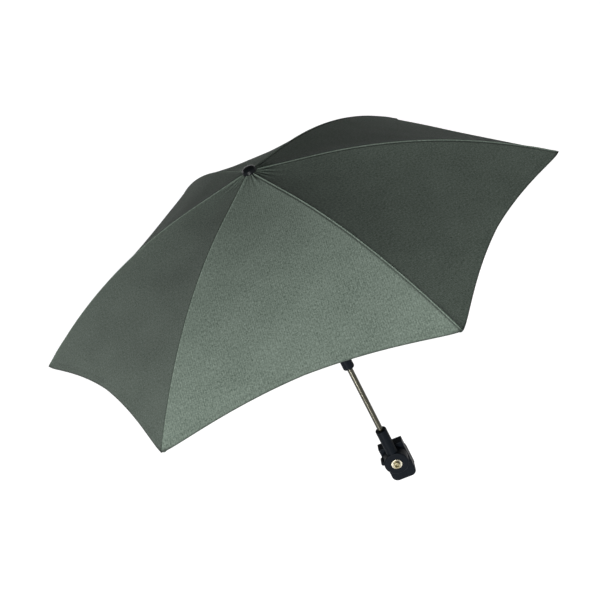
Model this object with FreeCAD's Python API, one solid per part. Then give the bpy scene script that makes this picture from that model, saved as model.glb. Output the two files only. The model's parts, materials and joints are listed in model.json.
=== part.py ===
import FreeCAD, Part
import math
import os

# Pram parasol: six-rib canopy on a jointed shaft with a snap clip for a pram tube.
# All sizes are in millimetres and degrees.
# Z runs up the shaft, the clip's front faces -Y, and the origin is the middle of the clip's bore.

# Clip that snaps on the pram tube
TUBE_D = 22.0
LINER_T = 1.5
LINER_H = 27.0
JAW_T = 4.5
JAW_H = 28.0
JAW_MOUTH = 110.0
JAW_SINK = 3.0
LIP_D = 5.7
BLOCK_W = 36.0
BLOCK_T = 14.0
BLOCK_UP = 20.0
BLOCK_DOWN = 42.0
BLOCK_CORNER = 9.0
BLOCK_EDGE = 1.2
BOLT_RISE = 26.0

# Swivel bolt and its hardware
BOLT_D = 6.0
HEAD_D = 10.0
HEAD_H = 4.0
HEAD_EDGE = 0.8
KEY_W = 5.0
KEY_DEPTH = 2.4
WASHER_D = 15.5
WASHER_T = 1.6
WASHER_SINK = 0.8
WASHER_EDGE = 0.3
NUT_W = 10.0
NUT_H = 5.0
FRICTION_D = 30.0
FRICTION_T = 1.0
FRICTION_PLAY = 0.5

# Swivel socket and rod
DISC_D = 35.0
DISC_LIP = 0.6
DISC_EDGE = 1.5
SOCKET_D = 16.0
SOCKET_UP = 58.0
SOCKET_FLOOR = 10.0
SOCKET_EDGE = 1.0
LUG_D = 7.0
LUG_DEPTH = 12.0
LUG_RISE = 4.2
LUG_EDGE = 1.0
ROD_D = 8.0
ROD_WALL = 1.0
ROD_SHOW = 113.0
ROD_IN = 19.0

# Tilt knuckle
KNUCKLE_D = 16.0
COLLAR_H = 25.0
COLLAR_EDGE = 1.0
PIVOT_RISE = 10.0
TONGUE_W = 6.0
TONGUE_R = 7.0
TONGUE_ROOT = 2.0
FORK_ROOM = 1.0
PIN_D = 4.0
PIN_SINK = 0.8
UPPER_H = 44.0
UPPER_EDGE = 2.0
BUTTON_D = 8.0
BUTTON_H = 8.0
BUTTON_RISE = 20.0
BUTTON_EDGE = 1.2
BUTTON_STROKE = 2.0
POCKET_BACK = 1.6
SPRING_CLOSED = 2.4
SPRING_D = 5.2
SPRING_T = 0.5
SPRING_W = 4.0

# Shaft under the canopy
SHAFT_D = 10.0
SHAFT_WALL = 1.0
SHAFT_IN = 15.4
SHAFT_TOP = 1.0
CROWN_RISE = 275.0

# Crown, cap and ribs
RIB_COUNT = 6
HINGE_R = 9.0
CROWN_D = 25.0
CROWN_UP = 3.5
CROWN_DOWN = 7.0
CROWN_EDGE = 1.0
RIB_D = 3.2
EYE_D = 5.2
RIVET_D = 2.0
RIB_PIN = 7.6
RIB_LENGTH = 378.0
RIB_START = 4.0
RIB_END = 38.0
TIP_D = 4.0
TIP_LENGTH = 14.0
CAP_D = 18.0
CAP_H = 6.5
CAP_RIM = 0.2
STEM_D = 5.0
STEM_IN = 1.0
SEAT_D = 16.0

# Runner and stretchers
RUNNER_D = 20.0
RUNNER_H = 18.0
FLANGE_D = 31.0
FLANGE_H = 10.0
RUNNER_EDGE = 1.0
LINK_R = 12.0
LINK_AT = 92.0
LINK_LENGTH = 112.0
LINK_T = 1.4
LINK_W = 5.0
LINK_EYE = 6.0
LINK_PIN = 5.6
LINK_HEAD_D = 4.0
LINK_HEAD_H = 0.8
LATCH_D = 6.0
LATCH_H = 4.6
LATCH_EDGE = 0.8
LATCH_STROKE = 1.4
LATCH_WALL = 0.9

# Cloth
CLOTH_T = 0.8
CLOTH_OFF = 0.6
CLOTH_START = -2.0
CLOTH_ROWS = 15
CLOTH_DOME = 4.0
CLOTH_DOME_RUN = 80.0
HEM_RISE = 24.0
PANEL_DIP = 4.0
CREASE_AT = 0.7

# Clearances
RUN_GAP = 0.05
REST_GAP = 0.1
BODY_GAP = 0.3

# Places that follow from the sizes
LINER_R = TUBE_D / 2
JAW_IN = LINER_R + LINER_T
JAW_OUT = JAW_IN + JAW_T
BLOCK_REAR = -(JAW_OUT - JAW_SINK)
BLOCK_FRONT = BLOCK_REAR - BLOCK_T
DISC_REAR = BLOCK_FRONT - FRICTION_T - BODY_GAP
SHAFT_Y = DISC_REAR - DISC_LIP - SOCKET_D / 2
DISC_FRONT = SHAFT_Y - SOCKET_D / 2 - DISC_LIP
WASHER_REAR = DISC_FRONT + WASHER_SINK - BODY_GAP
HEAD_REAR = WASHER_REAR - WASHER_T
SOCKET_TOP = BOLT_RISE + SOCKET_UP
COLLAR_Z = SOCKET_TOP + ROD_SHOW
SHOULDER_Z = COLLAR_Z + COLLAR_H
PIVOT_Z = SHOULDER_Z + PIVOT_RISE
UPPER_Z = PIVOT_Z + UPPER_H
BUTTON_Z = PIVOT_Z + BUTTON_RISE
CROWN_Z = PIVOT_Z + CROWN_RISE
STEP = 360.0 / RIB_COUNT
HALF = math.radians(STEP / 2)
ARC_R = RIB_LENGTH / math.radians(RIB_END - RIB_START)
CLOTH_LIFT = TIP_D / 2 + CLOTH_OFF
LINK_SIDE = RIB_D / 2 + BODY_GAP

# Half length of a tool that cuts right through, and the slack for finding an edge
REACH = 100.0
NEAR = 0.01

X = FreeCAD.Vector(1, 0, 0)
Y = FreeCAD.Vector(0, 1, 0)
Z = FreeCAD.Vector(0, 0, 1)


def vec(x, y, z):
    return FreeCAD.Vector(x, y, z)


def rod(d, length, base, axis):
    return Part.makeCylinder(d / 2, length, base, axis)


def tube(d_out, d_in, length, base, axis):
    return rod(d_out, length, base, axis).cut(rod(d_in, length, base, axis))


def through(d, middle, axis):
    """Round bar long enough to cut right through at this point."""
    return rod(d, 2 * REACH, middle - axis * REACH, axis)


def slab(x0, x1, y0, y1, z0, z1):
    return Part.makeBox(x1 - x0, y1 - y0, z1 - z0, vec(x0, y0, z0))


def hexagon(width, length, base, axis):
    """Six-sided bar, width across its flats, along Y."""
    corner = width / 2 / math.cos(math.pi / 6)
    turns = [math.radians(60 * i) for i in range(7)]
    points = [base + vec(corner * math.cos(a), 0, corner * math.sin(a)) for a in turns]
    return Part.Face(Part.makePolygon(points)).extrude(axis * length)


def soften(shape, radius, keep):
    """Round the edges that keep() picks."""
    edges = [e for e in shape.Edges if keep(e)]
    return shape.makeFillet(radius, edges)


def round_edges_at(shape, radius, axis, place):
    """Round the circular edges that lie in the plane at this place along the axis."""
    def keep(edge):
        box = edge.BoundBox
        low = {"y": box.YMin, "z": box.ZMin}[axis]
        high = {"y": box.YMax, "z": box.ZMax}[axis]
        return abs(low - place) < NEAR and abs(high - place) < NEAR
    return soften(shape, radius, keep)


def about_shaft(shape, angle):
    turned = shape.copy()
    turned.rotate(vec(0, SHAFT_Y, 0), Z, angle)
    return turned


def on_shaft(r, side, z):
    """Point at radius r and sideways offset in the plane of the first rib."""
    return vec(r, SHAFT_Y + side, z)


def rib_angle(s):
    return math.radians(RIB_START) + s / ARC_R


def rib_point(s, lift):
    """Radius and height of the rib's centre line at arc length s, moved outwards by lift."""
    start = math.radians(RIB_START)
    centre_r = HINGE_R - ARC_R * math.sin(start)
    centre_z = CROWN_Z - ARC_R * math.cos(start)
    reach = ARC_R + lift
    return centre_r + reach * math.sin(rib_angle(s)), centre_z + reach * math.cos(rib_angle(s))


def along_rib(face_at_start, s0, s1):
    """Sweep a face that stands at arc length s0 of the rib to s1."""
    start = math.radians(RIB_START)
    centre = on_shaft(HINGE_R - ARC_R * math.sin(start), 0, CROWN_Z - ARC_R * math.cos(start))
    return face_at_start.revolve(centre, Y, math.degrees((s1 - s0) / ARC_R))


def rib_disc(d, s):
    r, z = rib_point(s, 0)
    slope = rib_angle(s)
    normal = vec(math.cos(slope), 0, -math.sin(slope))
    return Part.Face(Part.Wire(Part.makeCircle(d / 2, on_shaft(r, 0, z), normal)))


def link_joint():
    """Radius and height of the pivot where a stretcher meets its rib."""
    return rib_point(LINK_AT, -RIB_D / 2)


def runner_link_z():
    """Height of the stretcher pivots on the runner with the canopy open."""
    r, z = link_joint()
    return z - math.sqrt(LINK_LENGTH ** 2 - (r - LINK_R) ** 2)


def make_clip_body():
    low = BOLT_RISE - BLOCK_DOWN
    high = BOLT_RISE + BLOCK_UP
    block = slab(-BLOCK_W / 2, BLOCK_W / 2, BLOCK_FRONT, BLOCK_REAR, low, high)
    block = soften(block, BLOCK_CORNER, lambda e: abs(e.tangentAt(e.FirstParameter).y) > 0.9
                   and e.CenterOfMass.z < BOLT_RISE)
    block = soften(block, BLOCK_EDGE, lambda e: e.BoundBox.YMax < BLOCK_FRONT + NEAR)
    jaw = rod(JAW_OUT * 2, JAW_H, vec(0, 0, -JAW_H / 2), Z)
    body = block.fuse(jaw.cut(jaw_mouth(JAW_OUT * 2)))
    for side in (-1, 1):
        body = body.fuse(jaw_lip(side))
    body = body.cut(through(JAW_IN * 2, vec(0, 0, 0), Z))
    body = body.cut(through(BOLT_D, vec(0, BLOCK_REAR, BOLT_RISE), Y))
    pocket = hexagon(NUT_W, NUT_H, vec(0, BLOCK_REAR, BOLT_RISE), -Y)
    return body.cut(pocket).removeSplitter()


def jaw_mouth(reach):
    """Wedge that opens the ring to the rear."""
    half = math.radians(JAW_MOUTH / 2)
    rim = reach / math.cos(half)
    left = vec(-rim * math.sin(half), rim * math.cos(half), -JAW_H)
    right = vec(rim * math.sin(half), rim * math.cos(half), -JAW_H)
    corner = vec(0, 0, -JAW_H)
    return Part.Face(Part.makePolygon([corner, left, right, corner])).extrude(Z * JAW_H * 2)


def jaw_lip(side):
    half = math.radians(JAW_MOUTH / 2)
    middle = JAW_IN + LIP_D / 2
    base = vec(side * middle * math.sin(half), middle * math.cos(half), -JAW_H / 2)
    return rod(LIP_D, JAW_H, base, Z)


def make_clip_liner():
    ring = tube(JAW_IN * 2, LINER_R * 2, LINER_H, vec(0, 0, -LINER_H / 2), Z)
    return ring.cut(jaw_mouth(JAW_OUT * 2))


def make_pivot_bolt():
    front = HEAD_REAR - HEAD_H
    head = rod(HEAD_D, HEAD_H, vec(0, HEAD_REAR, BOLT_RISE), -Y)
    head = round_edges_at(head, HEAD_EDGE, "y", front)
    shank = rod(BOLT_D, BLOCK_REAR - HEAD_REAR, vec(0, BLOCK_REAR, BOLT_RISE), -Y)
    key = hexagon(KEY_W, KEY_DEPTH, vec(0, front, BOLT_RISE), Y)
    return head.fuse(shank).cut(key).removeSplitter()


def make_bolt_washer():
    ring = tube(WASHER_D, BOLT_D, WASHER_T, vec(0, WASHER_REAR, BOLT_RISE), -Y)
    return round_edges_at(ring, WASHER_EDGE, "y", HEAD_REAR)


def make_bolt_nut():
    nut = hexagon(NUT_W, NUT_H, vec(0, BLOCK_REAR, BOLT_RISE), -Y)
    return nut.cut(rod(BOLT_D, NUT_H, vec(0, BLOCK_REAR, BOLT_RISE), -Y))


def make_friction_washer():
    return tube(FRICTION_D, BOLT_D + 2 * FRICTION_PLAY, FRICTION_T, vec(0, BLOCK_FRONT, BOLT_RISE), -Y)


def make_swivel_socket():
    disc = rod(DISC_D, DISC_REAR - DISC_FRONT, vec(0, DISC_REAR, BOLT_RISE), -Y)
    disc = round_edges_at(disc, DISC_EDGE, "y", DISC_FRONT)
    neck = rod(SOCKET_D, SOCKET_UP, vec(0, SHAFT_Y, BOLT_RISE), Z)
    neck = round_edges_at(neck, SOCKET_EDGE, "z", SOCKET_TOP)
    lug = rod(LUG_D, LUG_DEPTH, vec(-DISC_D / 2, DISC_REAR, BOLT_RISE + LUG_RISE), -Y)
    lug = round_edges_at(lug, LUG_EDGE, "y", DISC_REAR - LUG_DEPTH)
    body = disc.fuse(neck).fuse(lug)
    body = body.cut(through(BOLT_D + 2 * RUN_GAP, vec(0, SHAFT_Y, BOLT_RISE), Y))
    recess = rod(WASHER_D + 2 * BODY_GAP, REACH, vec(0, DISC_FRONT + WASHER_SINK, BOLT_RISE), -Y)
    body = body.cut(recess)
    bore = rod(ROD_D, SOCKET_UP, vec(0, SHAFT_Y, BOLT_RISE + SOCKET_FLOOR), Z)
    return body.cut(bore).removeSplitter()


def make_lower_shaft():
    low = BOLT_RISE + SOCKET_FLOOR
    high = COLLAR_Z + ROD_IN
    return tube(ROD_D, ROD_D - 2 * ROD_WALL, high - low, vec(0, SHAFT_Y, low), Z)


def make_lower_knuckle():
    collar = rod(KNUCKLE_D, COLLAR_H, vec(0, SHAFT_Y, COLLAR_Z), Z)
    collar = round_edges_at(collar, COLLAR_EDGE, "z", COLLAR_Z)
    collar = round_edges_at(collar, COLLAR_EDGE, "z", SHOULDER_Z)
    half = TONGUE_W / 2
    root = SHOULDER_Z - TONGUE_ROOT
    tongue = slab(-half, half, SHAFT_Y - TONGUE_R, SHAFT_Y + TONGUE_R, root, PIVOT_Z)
    tongue = tongue.fuse(rod(TONGUE_R * 2, TONGUE_W, vec(-half, SHAFT_Y, PIVOT_Z), X))
    body = collar.fuse(tongue)
    body = body.cut(rod(ROD_D, ROD_IN, vec(0, SHAFT_Y, COLLAR_Z), Z))
    return body.cut(through(PIN_D, vec(0, SHAFT_Y, PIVOT_Z), X)).removeSplitter()


def make_tilt_pin():
    length = KNUCKLE_D - 2 * PIN_SINK
    return rod(PIN_D, length, vec(-length / 2, SHAFT_Y, PIVOT_Z), X)


def make_upper_knuckle():
    r = KNUCKLE_D / 2
    body = rod(KNUCKLE_D, UPPER_H + r, vec(0, SHAFT_Y, PIVOT_Z - r), Z)
    body = round_edges_at(body, UPPER_EDGE, "z", UPPER_Z)
    keep = slab(-r, r, SHAFT_Y - r, SHAFT_Y + r, PIVOT_Z, UPPER_Z)
    keep = keep.fuse(rod(KNUCKLE_D, KNUCKLE_D, vec(-r, SHAFT_Y, PIVOT_Z), X))
    body = body.common(keep)
    half = TONGUE_W / 2 + BODY_GAP
    roof = PIVOT_Z + TONGUE_R + FORK_ROOM
    body = body.cut(slab(-half, half, SHAFT_Y - REACH, SHAFT_Y + REACH, PIVOT_Z - REACH, roof))
    body = body.cut(through(PIN_D + 2 * RUN_GAP, vec(0, SHAFT_Y, PIVOT_Z), X))
    body = body.cut(rod(SHAFT_D, SHAFT_IN, vec(0, SHAFT_Y, UPPER_Z - SHAFT_IN), Z))
    pocket = rod(BUTTON_D + 2 * RUN_GAP, REACH, vec(0, button_floor(), BUTTON_Z), -Y)
    return body.cut(pocket).removeSplitter()


def button_floor():
    """Depth of the tilt button's pocket."""
    return SHAFT_Y + POCKET_BACK


def button_inner():
    """Inner face of the tilt button at rest, a stroke and the closed spring away from its pocket's floor."""
    return button_floor() - BUTTON_STROKE - SPRING_CLOSED


def make_tilt_button():
    body = rod(BUTTON_D, BUTTON_H, vec(0, button_inner(), BUTTON_Z), -Y)
    return round_edges_at(body, BUTTON_EDGE, "y", button_inner() - BUTTON_H)


def make_tilt_spring():
    """Bowed leaf behind the tilt button: a ring that is cut open where it stands on the pocket's floor."""
    tip = button_inner() + RUN_GAP
    foot = button_floor() - RUN_GAP
    base = vec(-SPRING_W / 2, tip + SPRING_D / 2, BUTTON_Z)
    ring = tube(SPRING_D, SPRING_D - 2 * SPRING_T, SPRING_W, base, X)
    return ring.cut(slab(-REACH, REACH, foot, foot + REACH, BUTTON_Z - REACH, BUTTON_Z + REACH))


def make_upper_shaft():
    low = UPPER_Z - SHAFT_IN
    high = CROWN_Z + SHAFT_TOP
    return tube(SHAFT_D, SHAFT_D - 2 * SHAFT_WALL, high - low, vec(0, SHAFT_Y, low), Z)


def make_crown():
    body = rod(CROWN_D, CROWN_UP + CROWN_DOWN, vec(0, SHAFT_Y, CROWN_Z - CROWN_DOWN), Z)
    body = round_edges_at(body, CROWN_EDGE, "z", CROWN_Z + CROWN_UP)
    body = round_edges_at(body, CROWN_EDGE, "z", CROWN_Z - CROWN_DOWN)
    body = body.cut(rod(SHAFT_D, CROWN_DOWN + SHAFT_TOP, vec(0, SHAFT_Y, CROWN_Z - CROWN_DOWN), Z))
    body = body.cut(through(STEM_D, vec(0, SHAFT_Y, CROWN_Z), Z))
    half = RIB_D / 2 + BODY_GAP
    inner = HINGE_R - EYE_D / 2 - BODY_GAP
    slot = slab(inner, REACH, SHAFT_Y - half, SHAFT_Y + half, CROWN_Z - REACH, CROWN_Z + REACH)
    for i in range(RIB_COUNT):
        body = body.cut(about_shaft(slot.fuse(rib_pin()), STEP * i))
    return body.removeSplitter()


def rib_pin():
    return rod(RIVET_D, RIB_PIN, on_shaft(HINGE_R, -RIB_PIN / 2, CROWN_Z), Y)


def make_rib_pins():
    return Part.makeCompound([about_shaft(rib_pin(), STEP * i) for i in range(RIB_COUNT)])


def cloth_seat():
    """Height of the cloth's underside at the hinge circle."""
    return rib_point(0, cloth_rise(0))[1]


def make_crown_washer():
    low = CROWN_Z + CROWN_UP
    high = cloth_seat() - BODY_GAP
    return tube(SEAT_D, STEM_D, high - low, vec(0, SHAFT_Y, low), Z)


def make_cap():
    low = cloth_seat() + CLOTH_T + BODY_GAP
    edge = CAP_D / 2
    ball = (edge ** 2 + CAP_H ** 2) / (2 * CAP_H)
    dome = Part.makeSphere(ball, vec(0, SHAFT_Y, low + CAP_H - ball))
    dome = dome.common(rod(CAP_D - 2 * CAP_RIM, CAP_H, vec(0, SHAFT_Y, low), Z))
    low_stem = CROWN_Z - CROWN_DOWN
    stem = rod(STEM_D, low + STEM_IN - low_stem, vec(0, SHAFT_Y, low_stem), Z)
    return dome.fuse(stem).removeSplitter()


def make_rib():
    body = along_rib(rib_disc(RIB_D, 0), 0, RIB_LENGTH)
    eye = rod(EYE_D, RIB_D, on_shaft(HINGE_R, -RIB_D / 2, CROWN_Z), Y)
    r, z = link_joint()
    tab = rod(LINK_EYE, RIB_D, on_shaft(r, -RIB_D / 2, z), Y)
    body = body.fuse(eye).fuse(tab).fuse(rib_tip())
    return body.cut(through(RIVET_D + 2 * RUN_GAP, on_shaft(HINGE_R, 0, CROWN_Z), Y)).removeSplitter()


def rib_tip():
    """Rounded sleeve moulded on the rib's end."""
    start = RIB_LENGTH - TIP_LENGTH
    sleeve = along_rib(rib_disc(TIP_D, start), start, RIB_LENGTH)
    r, z = rib_point(RIB_LENGTH, 0)
    return sleeve.fuse(Part.makeSphere(TIP_D / 2, on_shaft(r, 0, z)))


def make_stretcher():
    low_z = runner_link_z()
    r, z = link_joint()
    side = LINK_SIDE
    ends = [on_shaft(LINK_R, side, low_z), on_shaft(r, side, z)]
    run = ends[1] - ends[0]
    across = vec(-run.z, 0, run.x).normalize() * (LINK_W / 2)
    points = [ends[0] + across, ends[1] + across, ends[1] - across, ends[0] - across, ends[0] + across]
    body = Part.Face(Part.makePolygon(points)).extrude(Y * LINK_T)
    for end in ends:
        body = body.fuse(rod(LINK_EYE, LINK_T, end, Y))
    body = body.fuse(rod(LINK_HEAD_D, LINK_T + LINK_HEAD_H, ends[1], Y))
    return body.cut(through(RIVET_D + 2 * RUN_GAP, ends[0], Y)).removeSplitter()


def link_middle():
    return LINK_SIDE + LINK_T / 2


def make_runner():
    link_z = runner_link_z()
    low = link_z - FLANGE_H / 2 - RUNNER_H
    body = rod(RUNNER_D, RUNNER_H + FLANGE_H / 2, vec(0, SHAFT_Y, low), Z)
    body = round_edges_at(body, RUNNER_EDGE, "z", low)
    flange = rod(FLANGE_D, FLANGE_H, vec(0, SHAFT_Y, link_z - FLANGE_H / 2), Z)
    flange = round_edges_at(flange, RUNNER_EDGE, "z", link_z - FLANGE_H / 2)
    body = body.fuse(flange)
    body = body.cut(through(SHAFT_D + 2 * RUN_GAP, vec(0, SHAFT_Y, link_z), Z))
    half = LINK_T / 2 + BODY_GAP
    side = SHAFT_Y + link_middle()
    eye = LINK_EYE / 2 + BODY_GAP
    slot = slab(LINK_R - eye, REACH, side - half, side + half, link_z - eye, link_z + REACH)
    for i in range(RIB_COUNT):
        body = body.cut(about_shaft(slot.fuse(stretcher_pin()), STEP * i))
    pocket = rod(LATCH_D + 2 * RUN_GAP, REACH, vec(0, latch_floor(), latch_z()), -Y)
    return body.cut(pocket).removeSplitter()


def stretcher_pin():
    return rod(RIVET_D, LINK_PIN, on_shaft(LINK_R, link_middle() - LINK_PIN / 2, runner_link_z()), Y)


def make_stretcher_pins():
    return Part.makeCompound([about_shaft(stretcher_pin(), STEP * i) for i in range(RIB_COUNT)])


def latch_z():
    return runner_link_z() - FLANGE_H / 2 - RUNNER_H / 2


def latch_floor():
    """Depth of the runner button's pocket, short of the shaft's bore."""
    return SHAFT_Y - SHAFT_D / 2 - LATCH_WALL


def make_runner_button():
    inner = latch_floor() - LATCH_STROKE - REST_GAP
    body = rod(LATCH_D, LATCH_H, vec(0, inner, latch_z()), -Y)
    return round_edges_at(body, LATCH_EDGE, "y", inner - LATCH_H)


def cloth_rise(s):
    """How far the cloth's underside stands off the rib's centre line."""
    bend = max(0.0, 1 - max(s, 0.0) / CLOTH_DOME_RUN)
    return CLOTH_LIFT + CLOTH_DOME * bend ** 2


def cloth_point(s, t, lift):
    """Point on a half panel: s along the rib, t from the rib (0) to the panel's middle (1)."""
    r, z = rib_point(s, cloth_rise(s) + lift)
    dip = PANEL_DIP * math.sin(math.pi * min(max(s / RIB_LENGTH, 0), 1))
    across = r * math.cos(HALF)
    at_middle = vec(across * math.cos(HALF), across * math.sin(HALF), z - dip)
    return vec(r, 0, z) * (1 - t) + at_middle * t + vec(0, SHAFT_Y, 0)


def cloth_edge(u, lift, near, far):
    """Curve across a strip of cloth, from t near to t far, at fraction u from crown to hem."""
    points = []
    for f in (0, 0.25, 0.5, 0.75, 1):
        t = near + f * (far - near)
        hem = RIB_LENGTH - HEM_RISE * (2 * t - t * t)
        s = CLOTH_START + u * (hem - CLOTH_START)
        width = rib_point(s, 0)[0] * math.sin(HALF)
        t = t + BODY_GAP / 2 / width * (1 - 2 * f)
        points.append(cloth_point(s, t, lift))
    curve = Part.BSplineCurve()
    curve.interpolate(points)
    return curve.toShape()


def cloth_section(u, near, far):
    """Closed wire across a strip: underside, two cut edges and outer side."""
    under = cloth_edge(u, 0, near, far)
    outer = cloth_edge(u, CLOTH_T, near, far)
    start = Part.makeLine(under.valueAt(under.FirstParameter), outer.valueAt(outer.FirstParameter))
    end = Part.makeLine(under.valueAt(under.LastParameter), outer.valueAt(outer.LastParameter))
    return Part.Wire([under, end, outer, start])


def cloth_end(u, near, far):
    return Part.makeRuledSurface(cloth_edge(u, 0, near, far), cloth_edge(u, CLOTH_T, near, far))


def make_cloth(near, far):
    """Strip of a half panel between two lines from the crown to the hem, with closer rows at the crown."""
    rows = [(k / (CLOTH_ROWS - 1)) ** 1.5 for k in range(CLOTH_ROWS)]
    sections = [cloth_section(u, near, far) for u in rows]
    sides = Part.makeLoft(sections, False, False)
    shell = Part.makeShell(sides.Faces + [cloth_end(0, near, far), cloth_end(1, near, far)])
    shell.sewShape()
    solid = Part.makeSolid(shell)
    return solid if solid.Volume > 0 else solid.reversed()


def mirrored(shape):
    return shape.mirror(vec(0, SHAFT_Y, 0), Y)


def build():
    parts = {
        "clip_body": make_clip_body(),
        "clip_liner": make_clip_liner(),
        "pivot_bolt": make_pivot_bolt(),
        "bolt_washer": make_bolt_washer(),
        "bolt_nut": make_bolt_nut(),
        "friction_washer": make_friction_washer(),
        "swivel_socket": make_swivel_socket(),
        "lower_shaft": make_lower_shaft(),
        "lower_knuckle": make_lower_knuckle(),
        "tilt_pin": make_tilt_pin(),
        "upper_knuckle": make_upper_knuckle(),
        "tilt_button": make_tilt_button(),
        "tilt_spring": make_tilt_spring(),
        "upper_shaft": make_upper_shaft(),
        "crown": make_crown(),
        "rib_pins": make_rib_pins(),
        "crown_washer": make_crown_washer(),
        "cap": make_cap(),
        "runner": make_runner(),
        "stretcher_pins": make_stretcher_pins(),
        "runner_button": make_runner_button(),
    }
    rib = make_rib()
    stretcher = make_stretcher()
    panel = make_cloth(0, CREASE_AT)
    crease = make_cloth(CREASE_AT, 1)
    for i in range(RIB_COUNT):
        number = str(i + 1)
        parts["rib_" + number] = about_shaft(rib, STEP * i)
        parts["stretcher_" + number] = about_shaft(stretcher, STEP * i)
        parts["panel_" + number + "_left"] = about_shaft(panel, STEP * i)
        parts["panel_" + number + "_right"] = about_shaft(mirrored(panel), STEP * i)
        parts["crease_" + number + "_left"] = about_shaft(crease, STEP * i)
        parts["crease_" + number + "_right"] = about_shaft(mirrored(crease), STEP * i)
    return parts


os.makedirs("parts", exist_ok=True)
for name, shape in build().items():
    shape.exportStep("parts/" + name + ".step")
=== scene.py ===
import json
import math

import bpy
import numpy as np
from bpy.props import FloatProperty, FloatVectorProperty, PointerProperty
from mathutils import Matrix, Vector

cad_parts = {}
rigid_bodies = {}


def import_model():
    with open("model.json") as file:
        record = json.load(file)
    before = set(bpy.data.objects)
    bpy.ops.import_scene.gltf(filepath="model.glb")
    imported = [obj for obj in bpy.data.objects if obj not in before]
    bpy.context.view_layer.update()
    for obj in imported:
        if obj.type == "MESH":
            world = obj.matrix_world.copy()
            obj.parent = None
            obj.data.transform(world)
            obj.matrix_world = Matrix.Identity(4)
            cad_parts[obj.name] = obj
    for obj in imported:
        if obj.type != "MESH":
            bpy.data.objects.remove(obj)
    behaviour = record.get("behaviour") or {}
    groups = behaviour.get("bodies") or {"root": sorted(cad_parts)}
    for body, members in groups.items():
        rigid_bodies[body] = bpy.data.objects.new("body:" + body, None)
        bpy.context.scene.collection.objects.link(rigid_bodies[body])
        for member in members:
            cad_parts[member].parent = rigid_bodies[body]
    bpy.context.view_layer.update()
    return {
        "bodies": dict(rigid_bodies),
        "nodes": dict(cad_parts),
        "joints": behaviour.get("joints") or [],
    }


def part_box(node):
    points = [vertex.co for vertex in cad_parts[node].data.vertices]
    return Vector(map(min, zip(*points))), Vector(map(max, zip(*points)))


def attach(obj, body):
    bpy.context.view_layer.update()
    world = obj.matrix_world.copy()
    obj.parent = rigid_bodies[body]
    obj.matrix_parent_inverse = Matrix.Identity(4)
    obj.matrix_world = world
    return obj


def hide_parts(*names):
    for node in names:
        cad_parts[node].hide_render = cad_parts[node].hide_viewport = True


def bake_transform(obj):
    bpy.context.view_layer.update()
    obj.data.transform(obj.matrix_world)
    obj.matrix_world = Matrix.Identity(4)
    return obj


bl_info = {
    "name": "Pram parasol looks",
    "version": (1, 0, 0),
    "blender": (4, 5, 0),
    "location": "View3D > Sidebar > Parasol",
    "description": "Cloth, finishes and studio for a folding pram parasol",
    "category": "Object",
}

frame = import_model()

# Places read from the frame, in metres
JOINTS = {joint["name"]: joint for joint in frame["joints"]}
RIBS = sum(name.startswith("rib_") for name in frame["bodies"])
HINGE_R, SHAFT_Y, CROWN_Z = JOINTS["rib_1_hinge"]["pos_m"]
GORE = 2 * math.pi / RIBS
HALF_SPAN = math.sin(GORE) / 2

# Strips of a gore: a place across it is 0 at one rib, 1 in its middle and 2 at the next rib
CREASE_AT = 0.7
CREASE_LEAN = math.atan2(CREASE_AT * math.sin(GORE) / 2, 1 - CREASE_AT * (1 - math.cos(GORE)) / 2)
SIDES = {1: "left", -1: "right"}

# Fineness of the cloth's grid
PANEL_COLUMNS = 36
CREASE_COLUMNS = 12
MAIN_ROWS = 96
HEM_ROWS = 20
HEM_ZONE = 1.4           # hem widths over which the rows crowd

# Relief of the cloth, in metres where it isn't a share or a count
SEAM_FADE = (-0.004, 0.01)
HEM_BLUR = 0.0008
STITCH_AT = 0.75         # share of the hem's width
STITCH_DIP = 0.5         # share of the hem's step
STITCH_WIDTH = 0.0006
PUCKERS = 4              # small folds in a gore
SWELL_START = 0.05
SWELL_FULL = 0.02
SWELL_WIDTH = 0.0036
EDGE_WALL = 0.1          # share of the thickness that is left on each side at the edge
INNER_RELIEF = 0.5       # share of the relief that shows on the inside
SLACK_WAVES = 4
SLACK_PITCH = (0.09, 0.26)
SLACK_FADE = (0.02, 0.12)

# Pockets at the rib tips
POCKET_ROWS = 16
POCKET_STEPS = 28
POCKET_CROWD = 0.6       # power that crowds the rows towards the pocket's end
POCKET_END_POWER = 8
POCKET_LEAST = 0.0004    # least square of the pocket's taper
POCKET_ROOM = 0.0001
POCKET_SINK = 0.0004
POCKET_SAG = 0.3

# Ties round the ribs, and patches under the crown
TIE_PLACES = (0.42, 0.72)
TIE_TURNS = (-1, 0, 1)
TIE_PITCH = 1.8          # thread radii from turn to turn
TIE_STEPS = 20
THREAD_STEPS = 8
PATCH_SPREAD = 1.5
PATCH_END = 0.5
PATCH_COLUMNS = 17
PATCH_ROWS = 31
# Plain pieces lie away from seams and hem, so they get no painted seam shadow, and a middle tone of the
# painted gore sheen
PLAIN_VALUES = {"seam": 1.0, "hem": 1.0, "lap": 0.0, "grain": 0.75}

# Cap and spring: the cap's lip is given in shares of its radius and in heights over its base
CAP_LIP = ((0.92, 0.0), (1.04, 0.0004), (1.05, 0.0011), (1.02, 0.0017))
CAP_STEPS = 64
DOME_STEPS = 14
POLE_R = 0.00001
SPRING_ROWS = 41

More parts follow.
